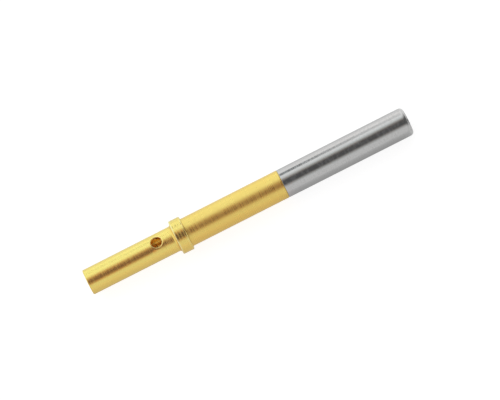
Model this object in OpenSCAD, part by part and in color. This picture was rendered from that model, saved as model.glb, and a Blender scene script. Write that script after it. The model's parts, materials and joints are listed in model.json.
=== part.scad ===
// Crimp socket contact: a turned, gold-plated body with a pressed-on steel hood.
// The axis runs along X. The origin is on the axis, in the front face of the retention collar.
// The wire goes in from -X and the mating pin from +X. The inspection hole faces up.

/* [Crimp barrel] */
// Outside diameter of the crimp barrel
barrel_od = 1.80; // [1.66:0.01:1.94]
// Length of the crimp barrel, from its cut end to the collar
barrel_len = 6.57; // [6.20:0.01:9.00]
// Bore of the wire well
well_d = 1.19; // [1.00:0.01:1.34]
// Depth of the wire well's full bore
well_depth = 5.75; // [4.00:0.05:6.30]
// Width of the chamfer round the wire well's mouth
well_mouth = 0.10; // [0.04:0.01:0.16]
// Edge break round the cut end
cut_edge = 0.04; // [0.02:0.01:0.08]

/* [Inspection hole] */
// Diameter of the inspection hole
inspection_d = 0.74; // [0.50:0.02:0.90]
// Distance of the inspection hole's centre from the end of the full bore
inspection_setback = 0.46; // [0.40:0.01:1.20]

/* [Retention collar] */
// Outside diameter of the collar
collar_od = 2.41; // [2.32:0.01:2.80]
// Width of the collar
collar_w = 0.80; // [0.50:0.01:1.50]
// Edge break round both rims of the collar
collar_edge = 0.04; // [0.02:0.01:0.10]
// Fillet between the collar's rear face and the barrel
rear_fillet = 0.15; // [0.05:0.01:0.20]
// Fillet between the collar's front face and the shank
front_fillet = 0.08; // [0.03:0.01:0.12]

/* [Shank] */
// Outside diameter of the shank, which the hood carries on flush
shank_od = 2.01; // [1.94:0.01:2.10]
// Length of the shank, from the collar's front face to the hood
shank_len = 7.20; // [4.00:0.05:10.00]
// Edge break on each side of the joint between shank and hood
joint_edge = 0.03; // [0.01:0.005:0.04]

/* [Hood] */
// Length of the hood
hood_len = 9.37; // [9.00:0.01:12.00]
// Wall of the hood, the same along the sleeve and in the lip
hood_wall = 0.20; // [0.15:0.01:0.22]
// Outside radius of the turned-in lip
lip_round = 0.28; // [0.23:0.01:0.35]
// Width of the lead-in chamfer round the lip's opening
lip_lead = 0.08; // [0.04:0.01:0.12]
// Length of the seat that the hood is pressed on
seat_len = 1.60; // [0.80:0.05:2.00]
// Lead-in chamfer on the seat's front edge
seat_lead = 0.04; // [0.02:0.01:0.05]

/* [Socket] */
// Diameter of the mating pin
pin_d = 1.02; // [0.96:0.01:1.08]
// Room for the pin in the socket bore, on the diameter
pin_fit = 0.03; // [0.01:0.01:0.05]
// Room for the pin in the lip's opening, on the diameter
lip_fit = 0.10; // [0.05:0.01:0.16]
// Outside diameter of the tines
tine_od = 1.50; // [1.36:0.01:1.54]
// Length of the tines, from their tips to the end of the slot
tine_len = 6.00; // [4.00:0.05:6.20]
// Width of the slot between the two tines
slot_w = 0.22; // [0.12:0.01:0.35]
// Run of the socket bore past the end of the slot
bore_run = 0.60; // [0.20:0.05:0.80]
// Gap between the tips of the tines and the lip
tip_gap = 0.50; // [0.10:0.05:1.00]
// Lead-in chamfer in the mouth of the tines
tine_lead = 0.10; // [0.04:0.01:0.12]

/* [Drilling] */
// Included angle of the drill point at the end of both bores
drill_angle = 118; // [90:1:140]

/* [Hidden] */
$fn = 128;

// How far a cut runs past the surface that it opens
overrun = 0.05;

// Radii
barrel_r = barrel_od / 2;
collar_r = collar_od / 2;
shank_r = shank_od / 2;
seat_r = shank_r - hood_wall;
tine_r = tine_od / 2;
well_r = well_d / 2;
socket_r = (pin_d + pin_fit) / 2;
lip_r = (pin_d + lip_fit) / 2;

// Places along the axis
collar_rear = -collar_w;
cut_end = collar_rear - barrel_len;
well_end = cut_end + well_depth;
inspection_x = well_end - inspection_setback;
hood_tip = shank_len + hood_len;
seat_end = shank_len + seat_len;
tine_tip = hood_tip - hood_wall - tip_gap;
slot_end = tine_tip - tine_len;
bore_end = slot_end - bore_run;

// A fillet is no taller than the flat that its face keeps inside the edge break
rear_fillet_r = min(rear_fillet, collar_r - collar_edge - barrel_r);
front_fillet_r = min(front_fillet, collar_r - collar_edge - shank_r);

// Length of the drill point at the end of a bore
function drill_point(radius) = radius / tan(drill_angle / 2);

// Turns a profile, drawn as radius by place along the axis, about the X axis
module turned() {
    rotate([0, 90, 0])
        rotate_extrude()
            children();
}

// Half profile of a bar with both its rims broken by a chamfer
module bar_profile(radius, from, to, from_edge, to_edge) {
    polygon([
        [0, from],
        [radius - from_edge, from],
        [radius, from + from_edge],
        [radius, to - to_edge],
        [radius - to_edge, to],
        [0, to],
    ]);
}

// Half profile of a hole bored from one end, with a chamfered mouth and a drill point.
// way is 1 for a hole that runs towards +X and -1 for one that runs towards -X.
module bore_profile(radius, mouth, end, lead, way) {
    polygon([
        [0, mouth - way * overrun],
        [radius + lead + overrun, mouth - way * overrun],
        [radius, mouth + way * lead],
        [radius, end],
        [0, end + way * drill_point(radius)],
    ]);
}

// Fills the inside corner at [radius, place] with a fillet, on the side that way points to
module fillet_profile(fillet, radius, place, way) {
    translate([radius, place])
        scale([1, way])
            difference() {
                translate([-overrun, -overrun])
                    square(fillet + overrun);
                translate([fillet, fillet])
                    circle(fillet);
            }
}

// Half profile of a closed cup whose front corner is rounded
module cup_profile(radius, from, to, round) {
    translate([0, from])
        square([radius, to - round - from]);
    translate([0, from])
        square([radius - round, to - from]);
    translate([radius - round, to - round])
        circle(round);
}

// The body in one turning, with the wire well and the socket bored from its two ends
module body_profile() {
    difference() {
        union() {
            bar_profile(barrel_r, cut_end, -collar_w / 2, cut_edge, cut_edge);
            bar_profile(collar_r, collar_rear, 0, collar_edge, collar_edge);
            bar_profile(shank_r, -collar_w / 2, shank_len, joint_edge, joint_edge);
            bar_profile(seat_r, 0, seat_end, seat_lead, seat_lead);
            bar_profile(tine_r, 0, tine_tip, seat_lead, seat_lead);
            fillet_profile(rear_fillet_r, barrel_r, collar_rear, -1);
            fillet_profile(front_fillet_r, shank_r, 0, 1);
        }
        bore_profile(well_r, cut_end, well_end, well_mouth, 1);
        bore_profile(socket_r, tine_tip, bore_end, tine_lead, -1);
    }
}

// Hole in the top of the barrel through which the seated wire is seen
module inspection_hole() {
    translate([inspection_x, 0, 0])
        cylinder(d = inspection_d, h = barrel_r + overrun);
}

// Saw cut that parts the front of the socket into two tines
module tine_slot() {
    translate([slot_end, -slot_w / 2, -tine_r - overrun])
        cube([tine_len + overrun, slot_w, 2 * (tine_r + overrun)]);
}

// Gold-plated body: crimp barrel, collar, shank, hood seat and slotted socket
module contact_body() {
    color("#dcbe6c")
        difference() {
            turned()
                body_profile();
            inspection_hole();
            tine_slot();
        }
}

// Steel sleeve over the tines, with a lip that guides the pin
module hood() {
    color("#b4b4b2")
        turned()
            difference() {
                cup_profile(shank_r, shank_len, hood_tip, lip_round);
                cup_profile(seat_r, shank_len - overrun, hood_tip - hood_wall, lip_round - hood_wall);
                polygon([
                    [0, hood_tip - hood_wall - overrun],
                    [lip_r, hood_tip - hood_wall - overrun],
                    [lip_r, hood_tip - lip_lead],
                    [lip_r + lip_lead + overrun, hood_tip + overrun],
                    [0, hood_tip + overrun],
                ]);
                polygon([
                    [shank_r - joint_edge - overrun, shank_len - overrun],
                    [shank_r + overrun, shank_len - overrun],
                    [shank_r + overrun, shank_len + joint_edge + overrun],
                ]);
            }
}

contact_body();
hood();
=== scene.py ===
import json
import math

import bmesh
import bpy
from mathutils import Matrix, Vector


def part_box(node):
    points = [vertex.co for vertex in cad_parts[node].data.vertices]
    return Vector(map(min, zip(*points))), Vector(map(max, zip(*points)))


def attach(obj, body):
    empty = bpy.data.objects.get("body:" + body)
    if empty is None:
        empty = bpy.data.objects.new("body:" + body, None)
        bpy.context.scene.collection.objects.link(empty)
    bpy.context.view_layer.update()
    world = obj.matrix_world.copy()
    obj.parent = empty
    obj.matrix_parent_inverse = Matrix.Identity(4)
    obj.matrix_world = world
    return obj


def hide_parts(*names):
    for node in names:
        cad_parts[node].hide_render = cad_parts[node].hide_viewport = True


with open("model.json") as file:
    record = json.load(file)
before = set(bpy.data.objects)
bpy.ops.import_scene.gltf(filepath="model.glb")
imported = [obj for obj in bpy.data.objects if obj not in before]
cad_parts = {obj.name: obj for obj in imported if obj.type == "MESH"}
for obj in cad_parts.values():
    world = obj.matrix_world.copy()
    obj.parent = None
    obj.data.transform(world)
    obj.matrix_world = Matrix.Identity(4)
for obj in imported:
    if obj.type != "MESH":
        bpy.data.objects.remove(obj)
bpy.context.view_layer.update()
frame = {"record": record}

# Sizes are in metres, in the frame of the solids: the axis runs along X, the origin is on it in the
# front face of the collar, +X is the mating end and +Z is up
MM = 0.001
WHITE = (1, 1, 1, 1)


def mount(name):
    """The mount of that name in the part's record."""
    return next(m for m in frame["record"]["mounts"] if m["name"] == name)


# Sizes that the frame gives
body_low, body_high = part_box("contact_body")
hood_low, hood_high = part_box("hood")
cut_end = body_low.x
tine_tip = body_high.x
joint_x = hood_low.x
hood_tip = hood_high.x
barrel_r = mount("crimp_barrel")["dims"]["r_mm"] * MM
shank_r = mount("shank")["dims"]["r_mm"] * MM
well_r = mount("wire_well")["dims"]["r_mm"] * MM
socket_r = mount("socket_bore")["dims"]["r_mm"] * MM
collar_rear = mount("collar_rear")["pos_m"][0]
well_end = mount("wire_well")["pos_m"][0] + mount("wire_well")["dims"]["length_mm"] * MM
bore_end = mount("socket_bore")["pos_m"][0] - mount("socket_bore")["dims"]["length_mm"] * MM

# Sizes of the solids that the frame doesn't list
collar_r = 1.205 * MM
hood_wall = 0.20 * MM
seat_r = shank_r - hood_wall
seat_len = 1.60 * MM
lip_round = 0.28 * MM
lip_r = 0.56 * MM
lip_lead = 0.08 * MM
tine_r = 0.75 * MM
tine_len = 6.00 * MM
tine_lead = 0.10 * MM
slot_w = 0.22 * MM
well_mouth = 0.10 * MM
cut_edge = 0.04 * MM
collar_edge = 0.04 * MM
rear_fillet = 0.15 * MM
front_fillet = 0.08 * MM
joint_edge = 0.03 * MM
inspection_r = 0.37 * MM
inspection_back = 0.46 * MM
inspection_x = well_end - inspection_back
drill_point = math.radians(118)
drill_slope = math.tan(drill_point / 2)

# How fine the meshes are, and how close counts as the same
SIDES = 160
RUN_STEP = 0.22 * MM
ARC_STEPS = 6
GUARD = 0.008 * MM
SHORT_RUN = 4 * GUARD
REACH_LIMIT = 0.8
SOFT_EDGE = 0.012 * MM
LEAST_TURN = math.radians(1)
SHARP_TURN = math.radians(40)
LEAST_R = 1e-9
SAME_R = 1e-8


def arc_corner(before, corner, after, radius):
    """Points of the arc that rounds one corner of an outline, tangent to both its sides."""
    into = (corner - before).normalized()
    out = (after - corner).normalized()
    turn = into.angle(out)
    if radius <= 0 or turn < LEAST_TURN:
        return [corner]
    reach = radius * math.tan(turn / 2)
    reach = min(reach, REACH_LIMIT * (corner - before).length, REACH_LIMIT * (after - corner).length)
    radius = reach / math.tan(turn / 2)
    start = corner - into * reach
    side = Vector((-into.y, into.x))
    if side.dot(out) < 0:
        side = -side
    centre = start + side * radius
    points = []
    for step in range(ARC_STEPS + 1):
        swing = turn * step / ARC_STEPS
        points.append(centre - side * radius * math.cos(swing) + into * radius * math.sin(swing))
    return points


def run_points(start, end):
    """Points between the ends of a straight run, with one guard point near each end."""
    length = (end - start).length
    if length < SHORT_RUN:
        return []
    along = (end - start) / length
    first = start + along * GUARD
    last = end - along * GUARD
    steps = max(1, math.ceil((last - first).length / RUN_STEP))
    return [first.lerp(last, step / steps) for step in range(steps + 1)]


def rounded_outline(corners, closed):
    """Outline through (x, radius, rounding) corners, with arcs at the corners and runs between them."""
    places = [Vector((x, r)) for x, r, _ in corners]
    count = len(places)
    arcs = []
    for index, (_, _, rounding) in enumerate(corners):
        if not closed and index in (0, count - 1):
            arcs.append([places[index]])
        else:
            following = places[(index + 1) % count]
            arcs.append(arc_corner(places[index - 1], places[index], following, rounding))
    outline = []
    for index, arc in enumerate(arcs):
        outline += arc
        if closed or index < count - 1:
            outline += run_points(arc[-1], arcs[(index + 1) % count][0])
    return outline


def on_axis(point):
    """Whether a point of an outline lies on the axis."""
    return point.y < LEAST_R


def place(x, radius, turn):
    """The point at that radius and at that turn from straight up, about the axis."""
    return Vector((x, radius * math.sin(turn), radius * math.cos(turn)))


def lathe(mesh, outline, closed, left_out=()):
    """Rings of an outline that is turned about the axis. The (ring, side) faces in left_out stay open."""
    rings = []
    for point in outline:
        if on_axis(point):
            rings.append([mesh.verts.new((point.x, 0, 0))])
        else:
            turns = [2 * math.pi * side / SIDES for side in range(SIDES)]
            rings.append([mesh.verts.new(place(point.x, point.y, turn)) for turn in turns])
    last = len(rings) if closed else len(rings) - 1
    for ring in range(last):
        here, there = rings[ring], rings[(ring + 1) % len(rings)]
        for side in range(SIDES):
            if (ring, side) in left_out:
                continue
            following = (side + 1) % SIDES
            if len(here) == 1:
                mesh.faces.new((here[0], there[side], there[following]))
            elif len(there) == 1:
                mesh.faces.new((here[side], there[0], here[following]))
            else:
                mesh.faces.new((here[side], there[side], there[following], here[following]))
    return rings


def stitch(mesh, inner, outer):
    """Joins two closed loops of (angle, vertex), both sorted by angle, with a band of triangles."""
    here, there = 0, 0
    while here < len(inner) or there < len(outer):
        inner_angle = inner[here][0] if here < len(inner) else math.inf
        outer_angle = outer[there][0] if there < len(outer) else math.inf
        inner_vert = inner[here % len(inner)][1]
        outer_vert = outer[there % len(outer)][1]
        if inner_angle <= outer_angle:
            here += 1
            mesh.faces.new((inner_vert, inner[here % len(inner)][1], outer_vert))
        else:
            there += 1
            mesh.faces.new((inner_vert, outer[there % len(outer)][1], outer_vert))


# Inspection hole: the roundings of its two rims, and the windows that the lathe leaves open round it
HOLE_SIDES = 96
HOLE_ANGLES = [2 * math.pi * (side + 0.5) / HOLE_SIDES - math.pi for side in range(HOLE_SIDES)]
HOLE_RIM = 0.08 * MM
HOLE_INNER_RIM = 0.02 * MM
SURROUND_R = 0.52 * MM
SURROUND_STEPS = 3
WINDOW_HALF_LEN = 0.75 * MM
OUTER_WINDOW_TURN = math.radians(50)
INNER_WINDOW_TURN = math.radians(75)


def hole_ring(mesh, cylinder_r, hole_r, drop=0.0):
    """Ring of the inspection hole where it meets a cylinder about the axis, or that far below it."""
    ring = []
    for angle in HOLE_ANGLES:
        across = hole_r * math.sin(angle)
        height = math.sqrt(cylinder_r ** 2 - across ** 2) - drop
        ring.append(mesh.verts.new((inspection_x + hole_r * math.cos(angle), across, height)))
    return ring


def join_rings(mesh, ring, following):
    """Joins two rings of as many vertices with a band of faces."""
    for side in range(len(ring)):
        after = (side + 1) % len(ring)
        mesh.faces.new((ring[side], ring[after], following[after], following[side]))


def rim_rings(mesh, cylinder_r, rounding, way):
    """Rings that round the hole's edge, from the cylinder into the hole. way is 1 if that is downward."""
    outer = hole_ring(mesh, cylinder_r, inspection_r + rounding)
    edge = hole_ring(mesh, cylinder_r, inspection_r)
    inner = hole_ring(mesh, cylinder_r, inspection_r, way * rounding)
    rings = [outer]
    for step in range(1, ARC_STEPS):
        share = step / ARC_STEPS
        ring = []
        for a, b, c in zip(outer, edge, inner):
            ring.append(mesh.verts.new(a.co.lerp(b.co, share).lerp(b.co.lerp(c.co, share), share)))
        rings.append(ring)
    rings.append(inner)
    bmesh.ops.delete(mesh, geom=edge, context="VERTS")
    return rings


def hole_window(outline, cylinder_r, half_turn):
    """The (ring, side) faces of a lathe to leave open round the hole, and the spans of rings and sides."""
    inside = [
        index for index, point in enumerate(outline)
        if abs(point.y - cylinder_r) < SAME_R and abs(point.x - inspection_x) < WINDOW_HALF_LEN
    ]
    half_sides = round(half_turn / (2 * math.pi) * SIDES)
    ring_span = range(inside[0], inside[-1])
    side_span = range(-half_sides, half_sides)
    faces = {(ring, side % SIDES) for ring in ring_span for side in side_span}
    return faces, ring_span, side_span


def window_loop(rings, ring_span, side_span):
    """The open edge of a window as (angle, vertex) pairs, sorted by angle round the hole's axis."""
    end_rings = (ring_span.start, ring_span.stop)
    end_sides = (side_span.start, side_span.stop)
    pairs = []
    for ring in range(ring_span.start, ring_span.stop + 1):
        for side in range(side_span.start, side_span.stop + 1):
            if ring in end_rings or side in end_sides:
                vert = rings[ring][side % SIDES]
                pairs.append((math.atan2(vert.co.y, vert.co.x - inspection_x), vert))
    return sorted(pairs, key=lambda pair: pair[0])


def surround(mesh, rim, loop, cylinder_r, rounding):
    """Rings on a cylinder that widen from the hole's rim, with a stitched band to the window's edge."""
    rim_r = inspection_r + rounding
    ring = rim
    for step in range(1, SURROUND_STEPS + 1):
        wider = hole_ring(mesh, cylinder_r, rim_r + (SURROUND_R - rim_r) * step / SURROUND_STEPS)
        join_rings(mesh, ring, wider)
        ring = wider
    stitch(mesh, list(zip(HOLE_ANGLES, ring)), loop)


def drill_hole(mesh, outer_loop, inner_loop):
    """The inspection hole, from its rounded rims to the windows in the barrel and in the well."""
    outer_rim = rim_rings(mesh, barrel_r, HOLE_RIM, 1)
    inner_rim = rim_rings(mesh, well_r, HOLE_INNER_RIM, -1)
    for rim in (outer_rim, inner_rim):
        for ring, following in zip(rim, rim[1:]):
            join_rings(mesh, ring, following)
    join_rings(mesh, outer_rim[-1], inner_rim[-1])
    surround(mesh, outer_rim[0], outer_loop, barrel_r, HOLE_RIM)
    surround(mesh, inner_rim[0], inner_loop, well_r, HOLE_INNER_RIM)


def finish_mesh(name, mesh):
    """Turns a bmesh into an object of the scene whose normals point outward."""
    bmesh.ops.recalc_face_normals(mesh, faces=mesh.faces)
    data = bpy.data.meshes.new(name)
    mesh.to_mesh(data)
    mesh.free()
    piece = bpy.data.objects.new(name, data)
    bpy.context.scene.collection.objects.link(piece)
    return piece


def smooth(piece):
    """Shades the piece smooth, apart from its sharp edges."""
    data = piece.data
    data.polygons.foreach_set("use_smooth", [True] * len(data.polygons))
    data.set_sharp_from_angle(angle=SHARP_TURN)


def cut_slot(piece):
    """Saws the slot that parts the front of the socket into two tines."""
    mesh = bmesh.new()
    bmesh.ops.create_cube(mesh, size=1)
    length = tine_len + 2 * tine_lead
    height = 4 * tine_r
    size = Matrix.Diagonal((length, slot_w, height, 1))
    centre = Matrix.Translation((tine_tip - tine_len + length / 2, 0, 0))
    bmesh.ops.transform(mesh, matrix=centre @ size, verts=mesh.verts)
    saw = finish_mesh("saw", mesh)
    cut = piece.modifiers.new("slot", "BOOLEAN")
    cut.operation = "DIFFERENCE"
    cut.solver = "EXACT"
    cut.object = saw
    depsgraph = bpy.context.evaluated_depsgraph_get()
    cut_mesh = bpy.data.meshes.new_from_object(piece.evaluated_get(depsgraph))
    piece.modifiers.clear()
    piece.data = cut_mesh
    bpy.data.objects.remove(saw)


def body_corners():
    """Corners of the body, from the wire well's bottom round the outside to the socket's bottom."""
    return [
        (well_end + well_r / drill_slope, 0, 0),
        (well_end, well_r, SOFT_EDGE),
        (cut_end + well_mouth, well_r, SOFT_EDGE),
        (cut_end, well_r + well_mouth, SOFT_EDGE),
        (cut_end, barrel_r - cut_edge, SOFT_EDGE),
        (cut_end + cut_edge, barrel_r, SOFT_EDGE),
        (collar_rear, barrel_r, rear_fillet),
        (collar_rear, collar_r - collar_edge, SOFT_EDGE),
        (collar_rear + collar_edge, collar_r, SOFT_EDGE),
        (-collar_edge, collar_r, SOFT_EDGE),
        (0, collar_r - collar_edge, SOFT_EDGE),
        (0, shank_r, front_fillet),
        (joint_x - joint_edge, shank_r, SOFT_EDGE),
        (joint_x, shank_r - joint_edge, SOFT_EDGE),
        (joint_x, seat_r, SOFT_EDGE),
        (joint_x + seat_len, seat_r, SOFT_EDGE),
        (joint_x + seat_len, tine_r, SOFT_EDGE),
        (tine_tip, tine_r, 2 * SOFT_EDGE),
        (tine_tip, socket_r + tine_lead, SOFT_EDGE),
        (tine_tip - tine_lead, socket_r, SOFT_EDGE),
        (bore_end, socket_r, SOFT_EDGE),
        (bore_end - socket_r / drill_slope, 0, 0),
    ]


def make_body():
    """The turned body, with its wire well, inspection hole, collar, hood seat and slotted socket."""
    outline = rounded_outline(body_corners(), closed=False)
    outer_faces, *outer_spans = hole_window(outline, barrel_r, OUTER_WINDOW_TURN)
    inner_faces, *inner_spans = hole_window(outline, well_r, INNER_WINDOW_TURN)
    mesh = bmesh.new()
    rings = lathe(mesh, outline, closed=False, left_out=outer_faces | inner_faces)
    drill_hole(mesh, window_loop(rings, *outer_spans), window_loop(rings, *inner_spans))
    piece = finish_mesh("turned_body", mesh)
    cut_slot(piece)
    smooth(piece)
    return piece


def mark_bores(piece):
    """Gives the faces inside the two bores and the inspection hole the second material."""
    slack = 0.01 * MM
    for face in piece.data.polygons:
        x, y, z = face.center
        radius = math.hypot(y, z)
        in_well = x < 0 and radius < well_r + slack
        in_socket = x > 0 and radius < socket_r + slack
        beside_hole = math.hypot(x - inspection_x, y) < inspection_r + slack
        in_hole = beside_hole and 0 < z and radius < barrel_r - HOLE_RIM
        if in_well or in_socket or in_hole:
            face.material_index = 1


def make_hood():
    """The steel sleeve, with its turned-in lip."""
    corners = [
        (joint_x, seat_r, SOFT_EDGE),
        (joint_x, shank_r - joint_edge, SOFT_EDGE),
        (joint_x + joint_edge, shank_r, SOFT_EDGE),
        (hood_tip, shank_r, lip_round),
        (hood_tip, lip_r + lip_lead, SOFT_EDGE),
        (hood_tip - lip_lead, lip_r, SOFT_EDGE),
        (hood_tip - hood_wall, lip_r, SOFT_EDGE),
        (hood_tip - hood_wall, seat_r, lip_round - hood_wall),
    ]
    mesh = bmesh.new()
    lathe(mesh, rounded_outline(corners, closed=True), closed=True)
    piece = finish_mesh("steel_hood", mesh)
    smooth(piece)
    return piece


# The span that most values of a noise lie in, and the share that each finer layer of it keeps
NOISE_SPAN = (0.25, 0.75)
NOISE_ROUGHNESS = 0.6


def add_node(tree, kind, inputs, **settings):
    """Adds a shader node; an input that is a socket is linked and any other value is set."""
    made = tree.nodes.new(kind)
    for name, value in settings.items():
        setattr(made, name, value)
    for name, value in inputs.items():
        if isinstance(value, bpy.types.NodeSocket):
            tree.links.new(value, made.inputs[name])
        else:
            made.inputs[name].default_value = value
    return made


def math_node(tree, operation, *values):
    """Result of one operation on numbers or sockets."""
    return add_node(tree, "ShaderNodeMath", dict(enumerate(values)), operation=operation).outputs[0]


def rest_of(tree, share):
    """What the share leaves of 1."""
    return math_node(tree, "SUBTRACT", 1.0, share)


def length_of(tree, across, up):
    """Length of the way that goes so far across and so far up."""
    square_across = math_node(tree, "MULTIPLY", across, across)
    square_up = math_node(tree, "MULTIPLY", up, up)
    return math_node(tree, "SQRT", math_node(tree, "ADD", square_across, square_up))


def ramp(tree, value, edge, low=0.0, high=1.0):
    """Smooth change from low to high as the value passes from one end of the edge to the other."""
    start, end = edge
    if start > end:
        start, end, low, high = end, start, high, low
    mapped = add_node(
        tree, "ShaderNodeMapRange",
        {"Value": value, "From Min": start, "From Max": end, "To Min": low, "To Max": high},
        interpolation_type="SMOOTHSTEP",
    )
    return mapped.outputs["Result"]


def even_share(tree, value, start, end):
    """0 up to that start, rising evenly to 1 at that end."""
    mapped = add_node(
        tree, "ShaderNodeMapRange", {"Value": value, "From Min": start, "From Max": end}
    )
    return mapped.outputs["Result"]


def blend(tree, share, first, second):
    """Mix of two numbers."""
    mixed = add_node(
        tree, "ShaderNodeMix", {"Factor": share, "A": first, "B": second}, data_type="FLOAT"
    )
    return mixed.outputs[0]


def blend_colours(tree, share, first, second, **settings):
    """Mix of two colours."""
    mixed = add_node(
        tree, "ShaderNodeMix", {"Factor": share, "A": first, "B": second}, data_type="RGBA", **settings
    )
    return mixed.outputs[2]


def object_place(tree):
    """Place in the object, as its X, Y and Z."""
    coords = add_node(tree, "ShaderNodeTexCoord", {})
    parts = add_node(tree, "ShaderNodeSeparateXYZ", {"Vector": coords.outputs["Object"]})
    return parts.outputs["X"], parts.outputs["Y"], parts.outputs["Z"]


def along_axis(tree, start, end):
    """0 up to that start on the axis, rising evenly to 1 at that end."""
    x, _, _ = object_place(tree)
    return even_share(tree, x, start, end)


def stretched_noise(tree, along, round_about, detail):
    """Noise with that many features a millimetre along the axis and round about it."""
    coords = add_node(tree, "ShaderNodeTexCoord", {})
    scaled = add_node(
        tree, "ShaderNodeMapping",
        {"Vector": coords.outputs["Object"], "Scale": (along / MM, round_about / MM, round_about / MM)},
    )
    noise = add_node(
        tree, "ShaderNodeTexNoise",
        {"Vector": scaled.outputs["Vector"], "Scale": 1.0, "Detail": detail, "Roughness": NOISE_ROUGHNESS},
    )
    return noise.outputs["Fac"]


# Clouds of tone, along the axis and round about it, and breaks in the marks that run round it
CLOUDS_PER_MM = (0.4, 0.9)
CLOUD_DETAIL = 3
MARK_BREAKS_PER_MM = 0.15
QUARTER_TURN = 0.25


def metal(name, light_colour, dark_colour, mark_height, marks_per_mm, anisotropy):
    """Turned metal with marks that run round the axis and slight changes of tone. It sets no roughness."""
    made = bpy.data.materials.new(name)
    made.use_nodes = True
    tree = made.node_tree
    shader = tree.nodes["Principled BSDF"]
    clouds = stretched_noise(tree, *CLOUDS_PER_MM, CLOUD_DETAIL)
    tone = blend_colours(tree, even_share(tree, clouds, *NOISE_SPAN), light_colour, dark_colour)
    marks = stretched_noise(tree, marks_per_mm, MARK_BREAKS_PER_MM, detail=1)
    bump = add_node(tree, "ShaderNodeBump", {"Strength": 1.0, "Distance": mark_height, "Height": marks})
    tangent = add_node(tree, "ShaderNodeTangent", {}, direction_type="RADIAL", axis="X")
    shader.inputs["Metallic"].default_value = 1.0
    shader.inputs["Anisotropic"].default_value = anisotropy
    shader.inputs["Anisotropic Rotation"].default_value = QUARTER_TURN
    tree.links.new(tone, shader.inputs["Base Color"])
    tree.links.new(bump.outputs["Normal"], shader.inputs["Normal"])
    tree.links.new(tangent.outputs["Tangent"], shader.inputs["Tangent"])
    return made, tree, shader, tone


def scratched(tree, shader, low, high, lines_per_mm, breaks_per_mm=0.5):
    """Roughness between two limits, in fine lines that run round the axis. The limits may be sockets."""
    lines = stretched_noise(tree, lines_per_mm, breaks_per_mm, detail=1)
    roughness = blend(tree, even_share(tree, lines, *NOISE_SPAN), low, high)
    tree.links.new(roughness, shader.inputs["Roughness"])


# Colours of the gold: its two tones, the pale colour of a highlight painted along its rims, and the deep
# red that its haze adds
GOLD_LIGHT = (0.995, 0.915, 0.268, 1)
GOLD_DARK = (0.985, 0.885, 0.244, 1)
GOLD_PAINTED_HIGHLIGHT = (0.98, 0.955, 0.44, 1)
GOLD_DEEP = (0.90, 0.06, 0.0, 1)
COLLAR_TINT = (0.95, 0.875, 0.87, 1)
SHANK_TINT = (0.965, 0.915, 0.895, 1)
# Painted shade: a darker tint in the rear fillet that stands for the shade in that corner
FILLET_PAINTED_SHADE = (0.80, 0.75, 0.72, 1)

# Shares of haze and of the painted highlight, and how far that painted highlight reaches from the rims
# of the collar
GOLD_HAZE = 0.20
COLLAR_HAZE = 0.11
RIM_HIGHLIGHT_REACH = 0.13 * MM
FRONT_RIM_HIGHLIGHT = 0.4
HOLE_RIM_HIGHLIGHT = 0.5

# Roughness of the gold, as pairs of limits, and the pitch of the turning tool's marks on the collar
BARREL_ROUGHNESS = (0.14, 0.27)
COLLAR_ROUGHNESS = (0.02, 0.33)
SHANK_ROUGHNESS = (0.24, 0.39)
FILLET_ROUGHNESS = 0.55
COLLAR_PITCH = 0.20 * MM


def painted_rim_highlight(tree):
    """How much painted highlight makes the plating paler: most along the collar's rear rim, less on its
    front rim and round the inspection hole."""
    x, y, z = object_place(tree)
    radius = length_of(tree, y, z)
    from_hole = length_of(tree, math_node(tree, "SUBTRACT", x, inspection_x), y)
    rim = ramp(tree, radius, (collar_r - 2 * collar_edge, collar_r - collar_edge))
    rear = ramp(tree, x, (collar_rear + RIM_HIGHLIGHT_REACH, collar_rear + collar_edge))
    front = ramp(tree, x, (-RIM_HIGHLIGHT_REACH, -collar_edge), 0.0, FRONT_RIM_HIGHLIGHT)
    on_rim = math_node(tree, "MULTIPLY", rim, math_node(tree, "ADD", rear, front))
    hole_edge = (inspection_r + HOLE_RIM, inspection_r + HOLE_RIM / 2)
    round_hole = ramp(tree, from_hole, hole_edge, 0.0, HOLE_RIM_HIGHLIGHT)
    on_top = ramp(tree, z, (0.0, well_r))
    return math_node(tree, "MAXIMUM", on_rim, math_node(tree, "MULTIPLY", round_hole, on_top))


def collar_ticks(tree):
    """Roughness of the collar, which comes and goes with the turns of the tool."""
    x, _, _ = object_place(tree)
    turns = math_node(tree, "SINE", math_node(tree, "MULTIPLY", x, 2 * math.pi / COLLAR_PITCH))
    return blend(tree, even_share(tree, turns, -1.0, 1.0), *COLLAR_ROUGHNESS)


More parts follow.
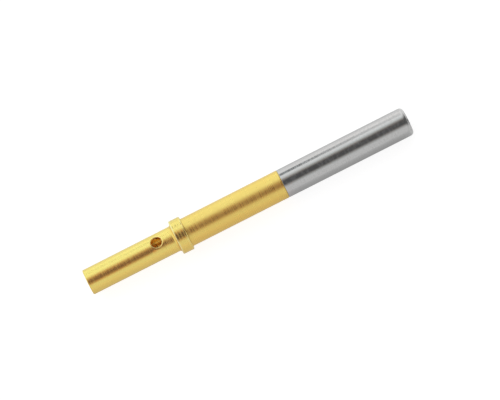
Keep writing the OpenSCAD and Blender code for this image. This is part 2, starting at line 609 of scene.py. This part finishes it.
def gold_plate():
    """Gold over the turned body: tool marks on the collar, rough fillets, painted shade in the rear fillet
    and painted highlights that make the rims of the collar and of the hole pale.
    """
    made, tree, shader, tone = metal(
        "gold_plate", GOLD_LIGHT, GOLD_DARK, mark_height=0.003 * MM, marks_per_mm=13, anisotropy=0.3
    )
    past_rear = along_axis(tree, collar_rear - collar_edge, collar_rear + collar_edge)
    past_front = along_axis(tree, -collar_edge, collar_edge)
    on_collar = math_node(tree, "SUBTRACT", past_rear, past_front)
    up_rear = along_axis(tree, collar_rear - rear_fillet, collar_rear)
    down_front = along_axis(tree, 0.0, front_fillet)
    in_rear_fillet = math_node(tree, "SUBTRACT", up_rear, past_rear)
    in_fillet = math_node(tree, "SUBTRACT", up_rear, down_front)

    # The last of these tints is painted shade in the rear fillet
    tints = ((on_collar, COLLAR_TINT), (past_front, SHANK_TINT), (in_rear_fillet, FILLET_PAINTED_SHADE))
    for share, tint in tints:
        tone = blend_colours(tree, share, tone, tint, blend_type="MULTIPLY")
    # Painted highlight: a paler gold along the collar's rims and round the inspection hole
    tree.links.new(blend_colours(tree, painted_rim_highlight(tree), tone, GOLD_PAINTED_HIGHLIGHT), shader.inputs["Base Color"])

    ticks = collar_ticks(tree)
    by_collar = along_axis(tree, inspection_x, collar_rear)
    limits = []
    for barrel, shank in zip(BARREL_ROUGHNESS, SHANK_ROUGHNESS):
        plain = blend(tree, by_collar, barrel, shank)
        limits.append(blend(tree, on_collar, blend(tree, in_fillet, plain, FILLET_ROUGHNESS), ticks))
    scratched(tree, shader, *limits, lines_per_mm=14)

    haze = add_node(tree, "ShaderNodeBsdfDiffuse", {"Color": GOLD_DEEP})
    haze_share = blend(tree, on_collar, GOLD_HAZE, COLLAR_HAZE)
    both = add_node(
        tree, "ShaderNodeMixShader", {0: haze_share, 1: shader.outputs["BSDF"], 2: haze.outputs["BSDF"]}
    )
    tree.links.new(both.outputs["Shader"], tree.nodes["Material Output"].inputs["Surface"])
    return made


# Tones of the plating in the bores, which is plain and even, and the limits of its roughness
BORE_LIGHT = (0.998, 0.76, 0.32, 1)
BORE_DARK = (0.995, 0.74, 0.30, 1)
BORE_ROUGHNESS = (0.25, 0.28)


def bore_gold():
    """The plating on the walls of the drilled holes."""
    made, tree, shader, _ = metal(
        "bore_gold", BORE_LIGHT, BORE_DARK, mark_height=0.0003 * MM, marks_per_mm=6, anisotropy=0.0
    )
    scratched(tree, shader, *BORE_ROUGHNESS, lines_per_mm=6)
    return made


# Tones of the steel, then values at the joint and at the tip: the two limits of its roughness, and the
# most that its specks scatter as a matte surface does. Last, how many specks there are, along the axis and
# round about it, and the values of the noise between which a speck grows.
STEEL_LIGHT = (0.59, 0.59, 0.585, 1)
STEEL_DARK = (0.56, 0.56, 0.555, 1)
STEEL_LOW_ROUGHNESS = (0.065, 0.12)
STEEL_HIGH_ROUGHNESS = (0.105, 0.19)
STEEL_MATTE = (0.09, 0.13)
SPECKS_PER_MM = (6, 2.5)
SPECK_EDGE = (0.46, 0.68)


def stainless():
    """Drawn steel with fine dull specks, a little duller towards the tip where the lip was formed."""
    made, tree, shader, _ = metal(
        "stainless", STEEL_LIGHT, STEEL_DARK, mark_height=0.0004 * MM, marks_per_mm=11, anisotropy=0.3
    )
    to_tip = along_axis(tree, joint_x, hood_tip)
    specks = ramp(tree, stretched_noise(tree, *SPECKS_PER_MM, detail=1), SPECK_EDGE)
    matte = math_node(tree, "MULTIPLY", specks, blend(tree, to_tip, *STEEL_MATTE))
    tree.links.new(rest_of(tree, matte), shader.inputs["Metallic"])
    low = blend(tree, to_tip, *STEEL_LOW_ROUGHNESS)
    high = blend(tree, to_tip, *STEEL_HIGH_ROUGHNESS)
    scratched(tree, shader, low, high, lines_per_mm=13, breaks_per_mm=2)
    return made


# View of the photograph: it looks square at the axis, from far off, and the axis climbs to the right
IMAGE_WIDTH = 500
PIXELS_PER_MM = 14.98
AXIS_CLIMB = math.radians(26.88)
VIEW_TURN = math.radians(23.5)
VIEW_DISTANCE = 260 * MM
CENTRE_X = 4.760 * MM
CENTRE_ABOVE_AXIS = 0.027 * MM
SENSOR = 36.0
CLIP_START = 10 * MM
CLIP_END = 10.0

axis_way = Vector((1, 0, 0))
to_camera = Vector((0, -math.sin(VIEW_TURN), math.cos(VIEW_TURN)))
across_way = to_camera.cross(axis_way)
picture_right = axis_way * math.cos(AXIS_CLIMB) - across_way * math.sin(AXIS_CLIMB)
picture_up = axis_way * math.sin(AXIS_CLIMB) + across_way * math.cos(AXIS_CLIMB)


def make_camera():
    """Camera at the photograph's view, with its scale at the axis."""
    data = bpy.data.cameras.new("camera")
    data.sensor_width = SENSOR
    data.lens = SENSOR * VIEW_DISTANCE / (IMAGE_WIDTH / PIXELS_PER_MM * MM)
    data.clip_start = CLIP_START
    data.clip_end = CLIP_END
    camera = bpy.data.objects.new("camera", data)
    camera.matrix_world = Matrix((picture_right, picture_up, to_camera)).transposed().to_4x4()
    centre = axis_way * CENTRE_X + across_way * CENTRE_ABOVE_AXIS
    camera.location = centre + to_camera * VIEW_DISTANCE
    bpy.context.scene.collection.objects.link(camera)
    bpy.context.scene.camera = camera


# Studio light, by direction: a bright wall of light at the left of the picture, a dimmer light below it, a
# dark gap between them round the camera, and a weak light at the mating end of the axis. The edge of the
# wall is a pair of shares of the way to the picture's right, and that of the light below one of shares of
# the way to its top, between which the light grows. The wall's growth and the edge of the end light are
# shares of the way to the mating end.
GAP_LEVEL = 0.11
KEY_LEVEL = 1.07
KEY_FRONT_LEVEL = 1.17
KEY_GROWTH = (0.010, 0.045)
KEY_EDGE = (-0.10, -0.39)
FILL_LEVEL = 0.775
FILL_EDGE = (-0.09, -0.58)
END_LEVEL = 0.30
END_EDGE = (0.95, 0.99)

# Past this share of the way to the mating end the edges run along the axis
SQUARE_UP_TO = 0.06

# Tints of the wall of light, of the soft edges of both lights and of the gap. They hold from TINT_START to
# PLAIN_START, where the gold mirrors the light. From there to PLAIN_END, where the hood mirrors it, a small
# share of each tint is taken out instead. All three are shares of the way to the mating end.
KEY_TINT = (0.935, 1.08, 1.14, 1)
EDGE_TINT = (1.08, 0.58, 0.38, 1)
GAP_TINT = (0.92, 1.0, 1.42, 1)
TINT_START = (-0.30, -0.20)
PLAIN_START = (-0.006, 0.006)
PLAIN_END = (0.075, 0.055)
COUNTER_TINT = 0.25

# The share of dark times the share of light is a quarter halfway through a soft edge
EDGE_PEAK = 0.25

# Upright seam in the wall of light at the left, which shows as a thin dark line along the hood
SEAM_ANGLE = math.radians(73.3)
SEAM_SLANT = 2.3
SEAM_HALF_WIDTH = math.radians(16)
SEAM_CORE = math.radians(6)
SEAM_DEPTH = 1.0
SEAM_START = (-0.004, 0.010)
SEAM_END = (0.045, 0.018)


def direction_share(tree, way):
    """Share of the light's direction that goes that way."""
    coords = add_node(tree, "ShaderNodeTexCoord", {})
    dot = add_node(
        tree, "ShaderNodeVectorMath", {0: coords.outputs["Generated"], 1: way}, operation="DOT_PRODUCT"
    )
    return dot.outputs["Value"]


def squared_share(tree, way, along):
    """Share that goes that way, without what the axis adds to it towards the mating end."""
    past = math_node(tree, "MAXIMUM", math_node(tree, "SUBTRACT", along, SQUARE_UP_TO), 0.0)
    excess = math_node(tree, "MULTIPLY", past, way.dot(axis_way))
    return math_node(tree, "SUBTRACT", direction_share(tree, way), excess)


def light_level(tree, along, fill_share, key_share):
    """Brightness of the gap, the end light, the light below and the wall of light."""
    level = ramp(tree, along, END_EDGE, GAP_LEVEL, END_LEVEL)
    level = blend(tree, fill_share, level, FILL_LEVEL)
    key_level = ramp(tree, along, KEY_GROWTH, KEY_LEVEL, KEY_FRONT_LEVEL)
    return blend(tree, key_share, level, key_level)


def seam_share(tree, along):
    """1 in the middle of the seam, 0 beside it."""
    around = math_node(
        tree, "ARCTAN2", direction_share(tree, across_way), direction_share(tree, to_camera)
    )
    slanted = math_node(tree, "SUBTRACT", around, math_node(tree, "MULTIPLY", along, SEAM_SLANT))
    off_seam = math_node(tree, "ABSOLUTE", math_node(tree, "SUBTRACT", slanted, SEAM_ANGLE))
    seam = ramp(tree, off_seam, (SEAM_HALF_WIDTH, SEAM_CORE), 0.0, SEAM_DEPTH)
    for edge in (SEAM_START, SEAM_END):
        seam = math_node(tree, "MULTIPLY", seam, ramp(tree, along, edge))
    return seam


def light_colour(tree, along, fill_share, key_share):
    """Tints of the light in the directions that the gold mirrors, with the counter tint for the hood."""
    dark_share = math_node(tree, "MULTIPLY", rest_of(tree, fill_share), rest_of(tree, key_share))
    half_lit = math_node(tree, "MULTIPLY", dark_share, rest_of(tree, dark_share))
    edge_share = math_node(tree, "DIVIDE", half_lit, EDGE_PEAK)
    past_gold = ramp(tree, along, PLAIN_START)
    counter = math_node(tree, "MULTIPLY", past_gold, ramp(tree, along, PLAIN_END, 0.0, COUNTER_TINT))
    on_gold = math_node(tree, "SUBTRACT", ramp(tree, along, TINT_START), past_gold)
    tinted = math_node(tree, "SUBTRACT", on_gold, counter)
    colour = WHITE
    for share, tint in ((key_share, KEY_TINT), (edge_share, EDGE_TINT), (dark_share, GAP_TINT)):
        tint_share = math_node(tree, "MULTIPLY", share, tinted)
        colour = blend_colours(tree, tint_share, colour, tint, blend_type="MULTIPLY", clamp_factor=False)
    return colour


def make_lights():
    """Soft light from panels round the object, as the sky of the scene."""
    world = bpy.data.worlds.new("studio")
    world.use_nodes = True
    tree = world.node_tree
    along = direction_share(tree, axis_way)
    fill_share = ramp(tree, squared_share(tree, picture_up, along), FILL_EDGE)
    key_share = ramp(tree, squared_share(tree, picture_right, along), KEY_EDGE)
    level = light_level(tree, along, fill_share, key_share)
    strength = math_node(tree, "MULTIPLY", level, rest_of(tree, seam_share(tree, along)))
    background = tree.nodes["Background"]
    tree.links.new(light_colour(tree, along, fill_share, key_share), background.inputs["Color"])
    tree.links.new(strength, background.inputs["Strength"])
    bpy.context.scene.world = world


# Floor: level up to its first radius, with a rim that rises from there to the second
FLOOR_WHITE = (0.35, 0.35, 0.35, 1)
FLOOR_GLOW = 0.84
FLOOR_R = 700 * MM
FLOOR_RIM_R = 950 * MM
FLOOR_RIM_HEIGHT = 66 * MM
FLOOR_RIM_STEPS = 24
FLOOR_SIDES = 96


def bare_material(name):
    """A new material without nodes, and its node tree."""
    made = bpy.data.materials.new(name)
    made.use_nodes = True
    made.node_tree.nodes.clear()
    return made, made.node_tree


def floor_material():
    """White floor that the camera, gloss and clear things see brighter than its light makes it."""
    made, tree = bare_material("white_floor")
    path = add_node(tree, "ShaderNodeLightPath", {})
    seen = math_node(tree, "MAXIMUM", path.outputs["Is Camera Ray"], path.outputs["Is Glossy Ray"])
    seen = math_node(tree, "MAXIMUM", seen, path.outputs["Is Transmission Ray"])
    glow = math_node(tree, "MULTIPLY", seen, FLOOR_GLOW)
    matte = add_node(tree, "ShaderNodeBsdfDiffuse", {"Color": FLOOR_WHITE})
    shine = add_node(tree, "ShaderNodeEmission", {"Color": WHITE, "Strength": glow})
    both = add_node(tree, "ShaderNodeAddShader", {0: matte.outputs[0], 1: shine.outputs[0]})
    add_node(tree, "ShaderNodeOutputMaterial", {"Surface": both.outputs[0]})
    return made


def floor_outline():
    """Radius and height from the middle of the floor to the top of its rim."""
    outline = [Vector((0, 0)), Vector((FLOOR_R, 0))]
    for step in range(1, FLOOR_RIM_STEPS + 1):
        swing = step / FLOOR_RIM_STEPS * math.pi / 2
        radius = FLOOR_R + (FLOOR_RIM_R - FLOOR_R) * math.sin(swing)
        outline.append(Vector((radius, FLOOR_RIM_HEIGHT * (1 - math.cos(swing)))))
    return outline


def make_floor():
    """Round level floor with a raised rim, on which the collar rests."""
    mesh = bmesh.new()
    rings = []
    for point in floor_outline():
        ring = []
        for side in range(FLOOR_SIDES if point.x > 0 else 1):
            turn = 2 * math.pi * side / FLOOR_SIDES
            ring.append(mesh.verts.new((point.x * math.cos(turn), point.x * math.sin(turn), point.y)))
        rings.append(ring)
    for here, there in zip(rings, rings[1:]):
        for side in range(FLOOR_SIDES):
            following = (side + 1) % FLOOR_SIDES
            if len(here) == 1:
                mesh.faces.new((here[0], there[side], there[following]))
            else:
                mesh.faces.new((here[side], there[side], there[following], here[following]))
    floor = finish_mesh("floor", mesh)
    smooth(floor)
    floor.data.materials.append(floor_material())
    floor.location = (0, 0, -collar_r)
    return floor


# Cards on the floor along both sides of the object, which show only in its gloss. They are painted shadow:
# each is darkest beside the object, where it stands for the object's shadow on the floor as the gloss
# mirrors it, and turns up at its far edge.
CARD_FLAT = 500 * MM
CARD_FAR = 640 * MM
CARD_RISE = 60 * MM
CARD_LENGTH = 900 * MM
CARD_GAP = 0.02 * MM

# A card has its full level this far from the axis. The fades are the powers by which it grows till there;
# the dimmer part nearer the axis is painted shadow.
CARD_FULL = 12 * MM
CARD_FADE_GOLD = 0.10
CARD_FADE_HOOD = 0.235

# For each card: its side, -1 for the near one in the picture and 1 for the far one, its level, its tint
# beside the gold, and its share of that level straight ahead of the tip, where a low share is painted
# shade. That share grows to 1 between the two distances from the axis in AHEAD_EDGE.
CARD_SIDES = (
    (-1, 0.77, (1.04, 0.95, 0.93, 1), 1.0),
    (1, 1.0, (0.94, 1.0, 1.0, 1), 0.1),
)
AHEAD_EDGE = (1.2 * MM, 1.8 * MM)


def card_material(level, tint, ahead):
    """Glow of a card, which changes with the place beside or ahead of the object, where it is dimmed as
    painted shadow.
    """
    made, tree = bare_material("grey_card")
    x, y, _ = object_place(tree)
    from_axis = math_node(tree, "ABSOLUTE", y)
    by_hood = ramp(tree, x, (joint_x - shank_r, joint_x + shank_r))
    past_tip = ramp(tree, x, (hood_tip - shank_r, hood_tip + shank_r))
    fade = blend(tree, by_hood, CARD_FADE_GOLD, CARD_FADE_HOOD)
    grown = math_node(tree, "POWER", math_node(tree, "DIVIDE", from_axis, CARD_FULL), fade)
    share_beside = math_node(tree, "MINIMUM", grown, 1.0)
    share_ahead = ramp(tree, from_axis, AHEAD_EDGE, ahead, 1.0)
    share = blend(tree, past_tip, share_beside, share_ahead)
    shine = add_node(
        tree, "ShaderNodeEmission",
        {
            "Color": blend_colours(tree, by_hood, tint, WHITE),
            "Strength": math_node(tree, "MULTIPLY", share, level),
        },
    )
    add_node(tree, "ShaderNodeOutputMaterial", {"Surface": shine.outputs[0]})
    return made


def make_card(floor, side, level, tint, ahead):
    """Card on one side of the object, from under the axis to its raised far edge."""
    mesh = bmesh.new()
    rows = []
    for across, height in ((0.0, CARD_GAP), (CARD_FLAT, CARD_GAP), (CARD_FAR, CARD_RISE)):
        ends = (-CARD_LENGTH / 2, CARD_LENGTH / 2)
        rows.append([mesh.verts.new((x, side * across, height)) for x in ends])
    for row, following in zip(rows, rows[1:]):
        mesh.faces.new((row[0], row[1], following[1], following[0]))
    card = finish_mesh("grey_card", mesh)
    card.location = floor.location
    card.data.materials.append(card_material(level, tint, ahead))
    card.visible_camera = False
    card.visible_diffuse = False
    card.visible_shadow = False


# Enough glossy bounces for light to come back out of the bores
GLOSSY_BOUNCES = 12

make_camera()
make_lights()
floor = make_floor()
for side, level, tint, ahead in CARD_SIDES:
    make_card(floor, side, level, tint, ahead)
bpy.context.scene.cycles.glossy_bounces = GLOSSY_BOUNCES

body_piece = make_body()
body_piece.data.materials.append(gold_plate())
body_piece.data.materials.append(bore_gold())
mark_bores(body_piece)
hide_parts("contact_body")
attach(body_piece, "root")

hood_piece = make_hood()
hood_piece.data.materials.append(stainless())
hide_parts("hood")
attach(hood_piece, "root")

bpy.context.scene.view_settings.view_transform = "Standard"
